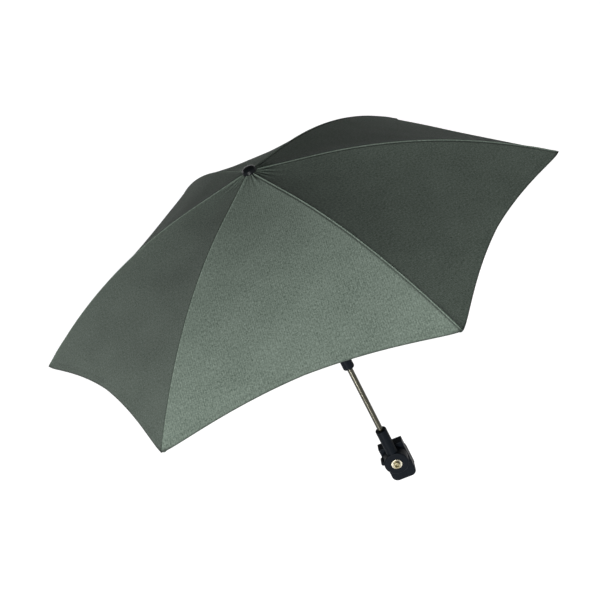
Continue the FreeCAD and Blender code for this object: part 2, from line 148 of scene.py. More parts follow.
# Cloth's look: noise scales across and along a gore, lengths in metres, and how much each part counts
CLOTH = "heathered_twill"
UV_NAME = "cloth"
WEFT = (300, 720, 0)
WARP = (720, 280, 0)
FLECK = (1500, 1500, 0)
CLOTH_CLOUDS = 22.0
FIBRE = {"weft": 0.4, "warp": 0.45, "fleck": 0.15}
TONE = {"fibre": 2.9, "cloud": 0.3, "wale": 0.06, "twill": 0.05}
HEIGHT = {"fibre": 1.6, "wale": 0.5, "twill": 0.3, "stitch": 1.5}
WALE_PITCH = 0.0023
WALE_WANDER = 0.0012
TWILL_PITCH = 0.0013
STITCH_PITCH = 0.0034
STITCH_GAIN = 3.0
STITCH_LINE = 0.0066
STITCH_THREAD = 0.0004
STITCH_SHADE = 0.2
# Painted highlight along each seam's rolled edge, as a share of the cloth's tone
CREST_HIGHLIGHT_GAIN = 0.2
# Painted shadow of the lapped cloth beside a seam, on one side only
LAP_PAINTED_SHADOW = 0.6
# Painted shade along the hem's edge: its width and how much it darkens
EDGE_WIDTH = 0.0015
EDGE_PAINTED_SHADE = 0.65
# Painted shade round the rib tips: its width across, its run from the hem and how much it darkens
TIP_WIDTH = 0.009
TIP_RUN = 0.004
TIP_PAINTED_SHADE = 0.6
CLOTH_ROUGH = 0.86
CLOTH_BUMP = 0.0001

# Looks of plastic and metal: noise scales, levels where spots begin, and how steeply they rise
NOISE_ROUGHNESS = 0.6
PLASTIC_CLOUDS = 60.0
SCUFF = (300, 300, 40)
SCUFF_SPOTS = (0.62, 6.0)
METAL_CLOUDS = 120.0
METAL_SPECKS = 1400.0
METAL_BUMP = 0.00002
PLATED = (300, 300, 300)
DRAWN = (2600, 2600, 30)
DUST = 700.0
DUST_SPOTS = (0.68, 8.0)
SWIRL = (900, 120, 400)
SWIRL_BUMP = 0.000008
PEEL = 500.0
PEEL_BUMP = 0.00003
WORN_PATCH = 90.0
WORN_SPOTS = (0.66, 9.0)
BARE_STEEL = (0.22, 0.21, 0.2, 1)
BLACK_NODES = ("clip_body", "swivel_socket", "lower_knuckle", "upper_knuckle", "runner", "crown",
               "crown_washer", "tilt_button", "runner_button")
ZINC_NODES = ("bolt_washer", "tilt_pin", "rib_pins", "stretcher_pins")

# Studio: each light has the height that it looks at, azimuth, elevation, distance, size and power setting
LIGHTS = {
    "key_light": (0.42, 262, 5, 3.0, 1.5, "key"),
    "back_light": (0.42, 145, 16, 2.6, 1.2, "back"),
    "shaft_light": (0.12, 247, -26, 1.7, 0.3, "glint"),
}
FLOOR_R = 6.0
COVE_R = 2.0
WALL_H = 4.6
FLOOR_POLE = 0.01
FLOOR_STEPS = 96
COVE_STEPS = 9
FLOOR_GREY = (0.5, 0.5, 0.5)
FLOOR_GLOW = 0.72
FLOOR_MOTTLE = 1.5
SENSOR = 36


def smooth(low, high, value):
    """Smooth step: 0 below low, 1 above high, and 3k^2 - 2k^3 between them."""
    k = np.clip((value - low) / (high - low), 0, 1)
    return k * k * (3 - 2 * k)


def bell(value, width):
    """Bell curve of height 1 and this half width."""
    return np.exp(-((value / width) ** 2))


def round_steps(steps):
    """Even angles of a full turn."""
    return np.linspace(0, 2 * math.pi, steps, endpoint=False)


def turned(points, turn):
    """Points turned about the shaft's axis, for points given round the origin."""
    c, s = math.cos(turn), math.sin(turn)
    x = points[..., 0] * c - points[..., 1] * s
    y = points[..., 0] * s + points[..., 1] * c
    return np.stack([x, y, points[..., 2]], axis=-1)


def on_shaft(points):
    """Points given round the shaft's axis, in the part's own frame."""
    return points + np.array([0, SHAFT_Y, 0])


def plan_vector(azimuth):
    return Vector((math.cos(azimuth), math.sin(azimuth), 0))


def unit(vectors):
    return vectors / np.linalg.norm(vectors, axis=-1, keepdims=True)


def grid_normals(points):
    """Normals of a grid of points: the row tangent crossed with the column tangent."""
    return unit(np.cross(np.gradient(points, axis=0), np.gradient(points, axis=1)))


def ring(outer, inner):
    """Rows that go along the outer side and back along the inner side."""
    return np.concatenate([outer, inner[:, ::-1]], axis=1)


def strip_faces(rows, columns):
    """Quads of a grid whose last column is joined round to the first."""
    k, j = np.meshgrid(np.arange(rows - 1), np.arange(columns), indexing="ij")
    right = (j + 1) % columns
    quads = [k * columns + j, (k + 1) * columns + j, (k + 1) * columns + right, k * columns + right]
    return np.stack(quads, axis=-1).reshape(-1, 4)


def strip_caps(rows, columns):
    """Quads that close a strip at its first and last row, between its outer and inner columns."""
    j = np.arange(columns - 1)
    loop = 2 * columns
    first = np.stack([j, j + 1, loop - 2 - j, loop - 1 - j], axis=-1)
    return np.concatenate([first, first[:, ::-1] + (rows - 1) * loop])


def shell_faces(rows, columns):
    """Quads of a closed thin shell with this many columns on each side."""
    return np.concatenate([strip_faces(rows, 2 * columns), strip_caps(rows, columns)])


def closed_faces(rows, columns):
    """Quads of a grid that is joined round in both directions."""
    k, j = np.meshgrid(np.arange(rows), np.arange(columns), indexing="ij")
    down, right = (k + 1) % rows, (j + 1) % columns
    quads = [k * columns + j, k * columns + right, down * columns + right, down * columns + j]
    return np.stack(quads, axis=-1).reshape(-1, 4)


def lathe(profile, steps):
    """Surface of revolution: each profile point (radius, height) goes round the shaft's axis."""
    turn = round_steps(steps)
    radius, height = np.array(profile).T
    x = radius[:, None] * np.cos(turn)
    y = radius[:, None] * np.sin(turn)
    return on_shaft(np.stack([x, y, np.broadcast_to(height[:, None], x.shape)], axis=-1))


def make_piece(name, points, faces, material):
    """Mesh object at the origin from arrays of points and faces, shaded smooth."""
    mesh = bpy.data.meshes.new(name)
    mesh.from_pydata(points.reshape(-1, 3), [], faces.tolist())
    mesh.polygons.foreach_set("use_smooth", np.ones(len(mesh.polygons), bool))
    mesh.materials.append(material)
    mesh.update()
    piece = bpy.data.objects.new(name, mesh)
    bpy.context.scene.collection.objects.link(piece)
    return piece


def give_uv(piece, uv):
    """UV map in metres, from one pair for each vertex."""
    mesh = piece.data
    corner = np.zeros(len(mesh.loops), np.int32)
    mesh.loops.foreach_get("vertex_index", corner)
    layer = mesh.uv_layers.new(name=UV_NAME)
    layer.data.foreach_set("uv", uv.reshape(-1, 2)[corner].astype(np.float32).ravel())


def give_value(piece, name, values):
    """Named number on every vertex, for the piece's material."""
    attribute = piece.data.attributes.new(name, "FLOAT", "POINT")
    attribute.data.foreach_set("value", values.astype(np.float32).ravel())


class Wire:
    """A shader socket that takes part in Python sums: each operator adds a Math node."""

    def __init__(self, paint, socket):
        self.paint = paint
        self.socket = socket

    def math(self, operation, *others):
        return self.paint.node("ShaderNodeMath", {"operation": operation}, (self, *others))

    def __add__(self, other):
        return self.math("ADD", other)

    def __radd__(self, other):
        return self.math("ADD", other)

    def __sub__(self, other):
        return self.math("SUBTRACT", other)

    def __rsub__(self, other):
        return self.paint.node("ShaderNodeMath", {"operation": "SUBTRACT"}, (other, self))

    def __mul__(self, other):
        return self.math("MULTIPLY", other)

    def __rmul__(self, other):
        return self.math("MULTIPLY", other)

    def bell(self, middle, width):
        """Bell curve of this value round a middle."""
        k = (self - middle) * (1 / width)
        return (k * k * -1.0).math("EXPONENT")

    def within(self, low, high):
        """This value kept between two limits."""
        return self.math("MAXIMUM", low).math("MINIMUM", high)

    def spots(self, level, gain):
        """0 up to a level, and from there rising by the gain to 1."""
        return ((self - level) * gain).within(0.0, 1.0)

    def sine(self, pitch):
        """Sine wave of this value with the given pitch."""
        return (self * (2 * math.pi / pitch)).math("SINE")


class Paint:
    """Node tree of one material, round a Principled shader."""

    def __init__(self, name, **constants):
        self.material = bpy.data.materials.new(name)
        self.material.use_nodes = True
        self.tree = self.material.node_tree
        self.shader = self.tree.nodes["Principled BSDF"]
        self.feed(**constants)

    def node(self, kind, settings, inputs, output=0):
        """New node: its settings first, then the values or links of its sockets."""
        made = self.tree.nodes.new(kind)
        for key, value in settings.items():
            setattr(made, key, value)
        pairs = inputs.items() if isinstance(inputs, dict) else enumerate(inputs)
        for key, value in pairs:
            self.put(made.inputs[key], value)
        return Wire(self, made.outputs[output])

    def put(self, socket, value):
        if isinstance(value, Wire):
            self.tree.links.new(value.socket, socket)
        else:
            socket.default_value = value

    def feed(self, **sockets):
        """Puts values or links on the shader's own sockets."""
        for name, value in sockets.items():
            self.put(self.shader.inputs[name.replace("_", " ")], value)

    def noise(self, coordinates, scale, detail):
        inputs = {"Vector": coordinates, "Scale": scale, "Detail": detail, "Roughness": NOISE_ROUGHNESS}
        return self.node("ShaderNodeTexNoise", {}, inputs)

    def streaks(self, coordinates, scales, detail):
        """Noise with a scale of its own on each axis."""
        place = self.node("ShaderNodeVectorMath", {"operation": "MULTIPLY"}, (coordinates, scales))
        return self.noise(place, 1.0, detail)

    def mix(self, factor, first, second):
        """Colour between two others."""
        return self.node("ShaderNodeMix", {"data_type": "RGBA"}, {0: factor, 6: first, 7: second}, 2)

    def tint(self, base, amount):
        """Colour times a number."""
        return self.node("ShaderNodeVectorMath", {"operation": "SCALE"}, {"Vector": base, "Scale": amount})

    def bump(self, height, depth):
        return self.node("ShaderNodeBump", {}, {"Height": height, "Distance": depth, "Strength": 1.0})

    def place(self):
        """Place on the piece, in its own coordinates."""
        return self.node("ShaderNodeTexCoord", {}, {}, "Object")

    def value_of(self, name):
        return self.node("ShaderNodeAttribute", {"attribute_name": name}, {}, "Fac")


def colour(name, description, default):
    return FloatVectorProperty(name=name, description=description, default=default, size=3, min=0, max=1,
                               subtype="COLOR")


def length(name, description, default):
    return FloatProperty(name=name, description=description, default=default, precision=5, unit="LENGTH",
                         subtype="DISTANCE")


def angle(name, description, degrees):
    return FloatProperty(name=name, description=description, default=math.radians(degrees), unit="ROTATION",
                         subtype="ANGLE")


def power(name, description, default):
    return FloatProperty(name=name, description=description, default=default, unit="POWER")


class ParasolCloth(bpy.types.PropertyGroup):
    """Sizes of the canopy's cloth and of what is made new with it: the cap and the button's spring."""
    rib_turn: angle("Rib bend", "How far a rib turns from crown to tip", 34)
    tip_radius: length("Tip radius", "Radius of the rounded rib tip", 0.002)
    thickness: length("Thickness", "Thickness of the cloth", 0.0008)
    lift: length("Lift", "Cloth's underside over the middle of a rib", 0.0026)
    dome: length("Dome", "Extra lift of the cloth at the crown", 0.004)
    dome_run: length("Dome run", "Length along a rib over which the extra lift fades", 0.08)
    start: length("Start", "Length along a rib, inside the hinge circle, where the cloth starts", -0.002)
    dip: length("Dip", "Sag of a gore between its ribs", 0.005)
    slack: length("Slack", "Height of the soft unevenness of a gore", 0.0008)
    hem_rise: length("Hem rise", "How far the hem curves in between two ribs", 0.024)
    overhang: length("Overhang", "Cloth beyond the end of a rib", 0.0045)
    blunt: length("Blunt corner", "Radius that rounds the hem at a rib tip", 0.013)
    hem_width: length("Hem width", "Width of the folded hem", 0.009)
    hem_step: length("Hem step", "Extra height of the folded hem", 0.00025)
    hem_roll: length("Hem roll", "Width of the rounded edge at the hem", 0.0012)
    welt: length("Welt height", "Height of the seam's rolled edge", 0.0006)
    welt_width: length("Welt width", "Half width of the seam's rolled edge", 0.0005)
    ditch: length("Ditch depth", "Depth of the ditch beside a seam", 0.0006)
    ditch_at: length("Ditch place", "Distance of the ditch from the seam", 0.0017)
    ditch_width: length("Ditch width", "Half width of the ditch", 0.0009)
    pucker: length("Pucker", "Height of the small folds round the cap", 0.0008)
    pucker_run: length("Pucker run", "How far the small folds run from the cap", 0.022)
    pocket_length: length("Pocket length", "Length of the pocket at a rib's tip", 0.030)
    pocket_end: length("Pocket end", "How far the pocket goes on beyond a rib's end", 0.0038)
    pocket_narrow: FloatProperty(name="Pocket taper", default=0.55, min=0, max=1, subtype="FACTOR",
                                 description="Share of the pocket's width that is lost towards its end")
    pocket_width: length("Pocket width", "Half width of the pocket at a rib's tip", 0.0075)
    pocket_wall: length("Pocket wall", "Thickness of the pocket's cloth", 0.0006)
    tie_radius: length("Tie radius", "Radius of a thread tie round a rib", 0.0023)
    thread: length("Thread", "Radius of the thread", 0.0003)
    patch_start: length("Patch start", "Radius where the crown patch comes out from under the cap", 0.0082)
    patch_bend: length("Patch bend", "Radius where the crown patch follows its rib in full", 0.0130)
    patch_run: length("Patch run", "Length of the crown patch along a rib", 0.036)
    patch_drop: length("Patch drop", "Crown patch's top below the middle of the cloth", 0.0011)
    patch_lap: length("Patch lap", "Step between two crown patches where they lap", 0.0004)
    patch_wall: length("Patch wall", "Thickness of the crown patch", 0.0004)
    cap_radius: length("Cap radius", "Radius of the cap over its rim", 0.0092)
    cap_wall: length("Cap wall", "Height of the cap's side", 0.0035)
    cap_rise: length("Cap rise", "Height of the cap over the cloth", 0.0085)
    cap_spigot: length("Cap spigot", "Radius of the cap's foot, inside the cloth's upper edge", 0.0066)
    spring_leaf: length("Spring leaf", "Thickness of the button spring's leaf", 0.0005)


class ParasolFinish(bpy.types.PropertyGroup):
    """Colours of the parasol's finishes."""
    cloth_dark: colour("Cloth dark", "Dark fibres of the heathered cloth", (0.0196, 0.029, 0.0216))
    cloth_light: colour("Cloth light", "Light fibres of the heathered cloth", (0.099, 0.121, 0.103))
    # Painted sheen: each gore's colour is made lighter or darker by the direction of its grain, standing in
    # for the twill's directional sheen
    painted_sheen_contrast: FloatProperty(name="Grain contrast", default=0.28, min=0, max=0.5, subtype="FACTOR",
                                  description="How much the cloth's tone changes with the grain of each gore")
    plastic: colour("Plastic", "Moulded black plastic", (0.0022, 0.0030, 0.0042))
    cap: colour("Cap", "Polished cap", (0.003, 0.0036, 0.0042))
    rubber: colour("Rubber", "Liner of the clip", (0.022, 0.022, 0.022))
    nylon: colour("Nylon", "Friction washer", (0.22, 0.22, 0.215))
    zinc: colour("Zinc", "Plated hardware", (0.31, 0.29, 0.23))
    bolt: colour("Bolt", "Dull yellow plating of the pivot bolt", (0.17, 0.15, 0.09))
    tube: colour("Tube", "Satin shaft", (0.052, 0.050, 0.039))
    enamel: colour("Enamel", "Black ribs and stretchers", (0.018, 0.018, 0.019))


class ParasolStudio(bpy.types.PropertyGroup):
    """Camera and light."""
    azimuth: angle("Azimuth", "Camera's turn round the parasol from its front", 10.0)
    elevation: angle("Elevation", "Camera's height over the horizon", 27.1)
    roll: angle("Roll", "Camera's turn about its own view line", -27.2)
    distance: length("Distance", "Camera from its target", 1.8)
    target: FloatVectorProperty(name="Target", description="Point that the camera looks at",
                                default=(-0.0175, -0.0379, 0.3210), size=3, subtype="XYZ", unit="LENGTH")
    lens: FloatProperty(name="Lens", description="Focal length in millimetres", default=81.9, min=10, max=300)
    floor: length("Floor", "Height of the floor", -1.5)
    key: power("Key", "Power of the front light in watts", 222)
    back: power("Back", "Power of the back light in watts", 18)
    glint: power("Glint", "Power of the low light on the shaft in watts", 15)
    sky: FloatProperty(name="Sky", description="Brightness of the room", default=0.15, min=0, max=2)


def cloth_sizes():
    return bpy.context.scene.parasol_cloth


def finishes():
    return bpy.context.scene.parasol_finish


class Rib:
    """Circular arc of a rib's centre line, from its hinge and the rounded tip of the first rib."""

    def __init__(self, sizes):
        low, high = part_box("rib_1")
        out = high.x - sizes.tip_radius - HINGE_R
        down = CROWN_Z - low.z - sizes.tip_radius
        self.start = math.atan2(down, out) - sizes.rib_turn / 2
        self.radius = math.hypot(out, down) / (2 * math.sin(sizes.rib_turn / 2))
        self.length = self.radius * sizes.rib_turn
        self.centre_r = HINGE_R - self.radius * math.sin(self.start)
        self.centre_z = CROWN_Z - self.radius * math.cos(self.start)

    def point(self, s, lift):
        """Radius and height at arc length s: the arc's centre plus (radius + lift) along the arc's normal."""
        slope = self.start + s / self.radius
        reach = self.radius + lift
        return self.centre_r + reach * np.sin(slope), self.centre_z + reach * np.cos(slope)

    def beside(self, s, lift, side):
        """Points at arc length s, a lift over the rib's middle and a distance to its side."""
        r, z = self.point(s, lift)
        return np.stack([r, np.broadcast_to(side, r.shape), z], axis=-1)


def gore_columns():
    """Places across a gore, 0 at one rib and 2 at the next, closer together beside the ribs."""
    panel = CREASE_AT * (np.arange(PANEL_COLUMNS + 1) / PANEL_COLUMNS) ** 2
    crease = np.linspace(CREASE_AT, 1, CREASE_COLUMNS + 1)
    half = np.concatenate([panel, crease[1:]])
    return np.concatenate([half, 2 - half[-2::-1]])


def gore_lengths(rib, sizes, t):
    """Arc length of every row at place t from a rib (0) to the gore's middle (1), and its way to the hem.

    The hem is a parabola in t, rounded where it meets the rib.
    Rows are even from the crown down to the hem's zone, and crowd quadratically towards the edge there."""
    width = HALF_SPAN * rib.point(rib.length, 0)[0]
    side = (np.sqrt((width * t) ** 2 + sizes.blunt ** 2) - sizes.blunt) / width
    hem = rib.length + sizes.overhang - sizes.hem_rise * (2 * side - side * side)
    zone = HEM_ZONE * sizes.hem_width
    main = np.arange(MAIN_ROWS) / MAIN_ROWS
    upper = sizes.start + main[:, None] * (hem - zone - sizes.start)
    edge = zone * (np.arange(HEM_ROWS, -1, -1) / HEM_ROWS) ** 2
    s = np.concatenate([upper, hem - edge[:, None]])
    return s, hem - s


def gore_middle(rib, sizes, tau, s):
    """Middle surface of a gore: straight chords from rib to rib at each arc length, lowered by a parabola.

    The cloth stands off the rib by its lift, with an extra dome that fades with the square of the run."""
    fade = np.clip(1 - np.maximum(s, 0) / sizes.dome_run, 0, 1)
    r, z = rib.point(s, sizes.lift + sizes.dome * fade ** 2 + sizes.thickness / 2)
    share = tau / 2
    x = r * (1 - share + share * math.cos(GORE))
    y = r * share * math.sin(GORE)
    along = np.sin(math.pi * np.clip(s / rib.length, 0, 1))
    return np.stack([x, y, z - sizes.dip * along * (1 - (1 - tau) ** 2)], axis=-1), r


def gore_relief(rib, sizes, middle, tau, s, side, edge, seed):
    """Height of the cloth's own relief over its middle surface.

    Sum of the seam's rolled edge and ditch, the folded hem and its stitch line, small folds round the cap,
    the swell over the rib's tip and a soft unevenness of random sine waves that vanishes at the ribs."""
    seam = sizes.welt * bell(side, sizes.welt_width)
    seam = seam - sizes.ditch * bell(side - sizes.ditch_at, sizes.ditch_width) * (tau > 1)
    seam = seam * smooth(*SEAM_FADE, s)
    hem = smooth(sizes.hem_width + HEM_BLUR, sizes.hem_width - HEM_BLUR, edge)
    hem = hem - STITCH_DIP * bell(edge - STITCH_AT * sizes.hem_width, STITCH_WIDTH)
    radius = np.hypot(middle[..., 0], middle[..., 1])
    turn = np.arctan2(middle[..., 1], middle[..., 0])
    folds = sizes.pucker * bell(radius - HINGE_R, sizes.pucker_run) * np.cos(PUCKERS * RIBS * turn)
    swell = smooth(rib.length - SWELL_START, rib.length - SWELL_FULL, s)
    swell = sizes.welt * swell * bell(side, SWELL_WIDTH)
    return seam + sizes.hem_step * hem + folds + swell + gore_slack(sizes, tau, s, seed)


def gore_slack(sizes, tau, s, seed):
    """Random sum of sine waves along and across a gore, faded out at the ribs and the crown."""
    random = np.random.default_rng(seed)
    total = np.zeros_like(s)
    for across in range(1, SLACK_WAVES + 1):
        pitch = random.uniform(*SLACK_PITCH)
        phase = random.uniform(0, 2 * math.pi)
        total = total + np.sin(across * math.pi * tau / 2) * np.sin(2 * math.pi * s / pitch + phase) / across
    return sizes.slack * total * np.sin(math.pi * tau / 2) * smooth(*SLACK_FADE, s)


def ridge_normals(points):
    """Grid normals, with those on each rib turned into the rib's own plane so that both gores agree."""
    normal = grid_normals(points)
    for column, turn in ((0, 0.0), (-1, GORE)):
        across = np.array([-math.sin(turn), math.cos(turn), 0])
        flat = normal[:, column] - (normal[:, column] @ across)[:, None] * across
        normal[:, column] = unit(flat)
    return normal


def gore_surface(number):
    """Outer and inner points, normals and measures of one gore, from its first rib to the next.

    Both sides lie half a thickness from the middle surface, along its normals, plus the relief.
    The thickness falls off in a quarter circle at the hem's edge."""
    sizes = cloth_sizes()
    rib = Rib(sizes)
    tau = gore_columns()[None, :]
    s, edge = gore_lengths(rib, sizes, np.minimum(tau, 2 - tau))
    tau = np.broadcast_to(tau, s.shape)
    middle, r = gore_middle(rib, sizes, tau, s)
    side = HALF_SPAN * r * np.minimum(tau, 2 - tau)
    normal = grid_normals(middle)
    roll = np.clip(edge / sizes.hem_roll, 0, 1)
    half = sizes.thickness * (EDGE_WALL + (0.5 - EDGE_WALL) * np.sqrt(1 - (1 - roll) ** 2))
    relief = gore_relief(rib, sizes, middle, tau, s, side, edge, number)
    outer = middle + normal * (half + relief)[..., None]
    inner = middle - normal * (half - INNER_RELIEF * relief)[..., None]
    uv = np.stack([(tau - 1) * HALF_SPAN * r, s], axis=-1)
    # Side of each seam where the painted shadow of the lapped edge falls: 1 on it, 0 off it
    lap = np.where(tau > 1, 1.0, 0.0)
    return {"outer": outer, "inner": inner, "up": ridge_normals(outer), "down": -ridge_normals(inner),
            "seam": side, "hem": edge, "lap": lap, "uv": uv}


def gore_cuts(number):
    """Four strips of a gore: kind, rib, side of the rib, first and last column."""
    middle = PANEL_COLUMNS + CREASE_COLUMNS
    end = 2 * middle
    here = number + 1
    there = here % RIBS + 1
    return (
        ("panel", here, 1, 0, PANEL_COLUMNS),
        ("crease", here, 1, PANEL_COLUMNS, middle),
        ("crease", there, -1, middle, end - PANEL_COLUMNS),
        ("panel", there, -1, end - PANEL_COLUMNS, end),
    )


def make_strip(name, gore, number, first, last):
    """Closed thin shell of the gore's columns from first to last, with normals from the whole gore."""
    part = {key: values[:, first:last + 1] for key, values in gore.items()}
    rows, columns = part["outer"].shape[:2]
    points = on_shaft(turned(ring(part["outer"], part["inner"]), GORE * number))
    piece = make_piece(name, points, shell_faces(rows, columns), cloth_material())
    give_uv(piece, ring(part["uv"], part["uv"]))
    for value in ("seam", "hem", "lap"):
        give_value(piece, value, ring(part[value], part[value]))
    # Painted sheen: this gore's tone, lighter or darker by the direction of its grain, in place of the
    # twill's directional sheen
    tone = 1 - finishes().painted_sheen_contrast * math.cos(2 * GORE * (number + 0.5))
    give_value(piece, "grain", np.full(points.shape[:2], tone))
    normals = turned(ring(part["up"], part["down"]), GORE * number)
    piece.data.normals_split_custom_set_from_vertices(normals.reshape(-1, 3))
    return piece


def sheet_size(outer):
    """Width, length and area of a strip's outer grid, from the sums of its edges and of its quads."""
    across = np.linalg.norm(np.diff(outer, axis=1), axis=-1).sum(axis=1).max()
    along = np.linalg.norm(np.diff(outer, axis=0), axis=-1).sum(axis=0).max()
    one = outer[1:, 1:] - outer[:-1, :-1]
    other = outer[1:, :-1] - outer[:-1, 1:]
    area = np.linalg.norm(np.cross(one, other), axis=-1).sum() / 2
    return float(across), float(along), float(area)


def hang(piece, kind, rib_number, side):
    """Bakes a strip's place into its mesh. It works out the body before it, a panel's rib or a crease strip's
    panel, and the direction across its fold, but doesn't bend the strip.
    """
    own = f"{rib_number}_{SIDES[side]}"
    before = f"rib_{rib_number}" if kind == "panel" else f"panel_{own}"
    lean = 0 if kind == "panel" else CREASE_LEAN
    across = plan_vector(GORE * (rib_number - 1) + side * (lean + math.pi / 2))
    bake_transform(piece)


def weave(paint, uv, across, along):
    """Fibres of the twill from slubs both ways and flecks, and the waves of its wales and its diagonal."""
    weft = paint.streaks(uv, WEFT, 4.0)
    warp = paint.streaks(uv, WARP, 4.0)
    fleck = paint.streaks(uv, FLECK, 2.0)
    fibre = weft * FIBRE["weft"] + warp * FIBRE["warp"] + fleck * FIBRE["fleck"]
    wale = (across + (warp - 0.5) * WALE_WANDER).sine(WALE_PITCH)
    twill = (across + along).sine(TWILL_PITCH)
    return fibre, wale, twill


def painted_light_tone(paint, seam, hem):
    """Painted light by place: a painted highlight on a seam's rolled edge, painted shadow beside it on the
    lapped side, painted shade on the hem's edge and round the rib tips, times the painted sheen tone of the
    gore.
    """
    sizes = cloth_sizes()
    crest = 1 + seam.bell(0.0, sizes.welt_width) * CREST_HIGHLIGHT_GAIN
    crest = crest - seam.bell(sizes.ditch_at, sizes.ditch_width) * paint.value_of("lap") * LAP_PAINTED_SHADOW
    edge = 1 - hem.bell(0.0, EDGE_WIDTH) * EDGE_PAINTED_SHADE
    tip = 1 - seam.bell(0.0, TIP_WIDTH) * hem.bell(0.0, TIP_RUN) * TIP_PAINTED_SHADE
    return crest * edge * tip * paint.value_of("grain")


def cloth_material():
    """Heathered twill: slubs both ways, fine ribs along the gore, and painted light: highlights and shadows
    at the seams, shade on the edges and rib tips, and a sheen tone for each gore.
    """
    if CLOTH in bpy.data.materials:
        return bpy.data.materials[CLOTH]
    look = finishes()
    paint = Paint(CLOTH, Sheen_Weight=0.02, Sheen_Roughness=0.6, Specular_IOR_Level=0.07)
    uv = paint.node("ShaderNodeUVMap", {"uv_map": UV_NAME}, {})
    across = paint.node("ShaderNodeSeparateXYZ", {}, (uv,))
    along = paint.node("ShaderNodeSeparateXYZ", {}, (uv,), 1)
    fibre, wale, twill = weave(paint, uv, across, along)
    cloudy = paint.noise(uv, CLOTH_CLOUDS, 2.0)
    shade = (fibre - 0.5) * TONE["fibre"] + 0.5 + (cloudy - 0.5) * TONE["cloud"]
    shade = shade + wale * TONE["wale"] + twill * TONE["twill"]
    base = paint.mix(shade.within(0.0, 1.0), (*look.cloth_dark, 1), (*look.cloth_light, 1))
    seam = paint.value_of("seam")
    hem = paint.value_of("hem")
    stitch = (across.sine(STITCH_PITCH) * STITCH_GAIN).within(0.0, 1.0) * hem.bell(STITCH_LINE, STITCH_THREAD)
    # Painted light on the cloth's colour: seam highlights and shadows, shade on the hem's edge and rib tips,
    # and the gore sheen; the stitches darken it too
    tone = painted_light_tone(paint, seam, hem) * (1 - stitch * STITCH_SHADE)
    height = wale * HEIGHT["wale"] + twill * HEIGHT["twill"]
    height = height + fibre * HEIGHT["fibre"] + stitch * HEIGHT["stitch"]
    rough = CLOTH_ROUGH + (fibre - 0.5) * 0.2
    paint.feed(Base_Color=paint.tint(base, tone), Roughness=rough, Normal=paint.bump(height, CLOTH_BUMP))
    return paint.material


def moulded(name, base, roughness, grain, depth):
    """Moulded plastic or rubber: fine spark-eroded grain, faint cloudiness and soft scuffs."""
    paint = Paint(name, Specular_IOR_Level=0.025)
    place = paint.place()
    fine = paint.noise(place, grain, 2.0)
    cloudy = paint.noise(place, PLASTIC_CLOUDS, 3.0)
    scuff = paint.streaks(place, SCUFF, 4.0).spots(*SCUFF_SPOTS)
    tone = 0.85 + cloudy * 0.3 + scuff * 0.35
    rough = roughness + (cloudy - 0.5) * 0.12 + scuff * 0.1
    paint.feed(Base_Color=paint.tint((*base,), tone), Roughness=rough, Normal=paint.bump(fine, depth))
    return paint.material


def metal(name, base, roughness, streak):
    """Drawn or plated metal: fine streaks along one axis, cloudy tarnish and small specks."""
    paint = Paint(name, Metallic=1.0)
    place = paint.place()
    drawn = paint.streaks(place, streak, 3.0)
    cloudy = paint.noise(place, METAL_CLOUDS, 3.0)
    speck = paint.noise(place, METAL_SPECKS, 1.0)
    tone = 0.86 + drawn * 0.16 + cloudy * 0.12
    rough = roughness + (drawn - 0.5) * 0.14 + (cloudy - 0.5) * 0.1
    relief = paint.bump(drawn + speck * 0.4, METAL_BUMP)
    paint.feed(Base_Color=paint.tint((*base,), tone), Roughness=rough, Normal=relief)
    return paint.material


def zinc_plate():
    """Zinc plating, made once for the spring and the small hardware."""
    if "zinc_plate" in bpy.data.materials:
        return bpy.data.materials["zinc_plate"]
    return metal("zinc_plate", finishes().zinc, 0.3, PLATED)


def polished(name, base):
    """Polished plastic: deep gloss with faint dust and hairline swirls."""
    paint = Paint(name, Specular_IOR_Level=0.05)
    place = paint.place()
    speck = paint.noise(place, DUST, 3.0).spots(*DUST_SPOTS)
    swirl = paint.streaks(place, SWIRL, 2.0)
    tone = 1 + speck * 2.0
    rough = 0.24 + swirl * 0.08 + speck * 0.3
    paint.feed(Base_Color=paint.tint((*base,), tone), Roughness=rough, Normal=paint.bump(swirl, SWIRL_BUMP))
    return paint.material


def enamel(name, base):
    """Black enamel on steel wire: thin paint with orange peel and worn spots of bare steel."""
    paint = Paint(name, Specular_IOR_Level=0.5)
    place = paint.place()
    peel = paint.noise(place, PEEL, 2.0)
    worn = paint.noise(place, WORN_PATCH, 4.0).spots(*WORN_SPOTS)
    rough = 0.34 + peel * 0.12 + worn * 0.15
    paint.feed(Base_Color=paint.mix(worn, (*base, 1), BARE_STEEL), Metallic=worn * 0.9, Roughness=rough,
               Normal=paint.bump(peel, PEEL_BUMP))
    return paint.material


def dress(material, *nodes):
    """Gives CAD nodes a finish, in place of the plain one that they came with."""
    for name in nodes:
        mesh = frame["nodes"][name].data
        mesh.materials.clear()
        mesh.materials.append(material)


class PARASOL_OT_canopy(bpy.types.Operator):
    """Six gores of cloth, each cut into four strips that follow the ribs and creases"""
    bl_idname = "parasol.canopy"
    bl_label = "Canopy cloth"

    def execute(self, context):
        for number in range(RIBS):
            gore = gore_surface(number)
            for cut in gore_cuts(number):
                self.strip(gore, number, *cut)
        return {"FINISHED"}

    def strip(self, gore, number, kind, rib_number, side, first, last):
        node = f"{kind}_{rib_number}_{SIDES[side]}"
        piece = make_strip(f"cloth_{node}", gore, number, first, last)
        hang(piece, kind, rib_number, side)
        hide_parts(node)
        width, along, area = sheet_size(gore["outer"][:, first:last + 1])
        own_rib = kind == "panel" and side > 0


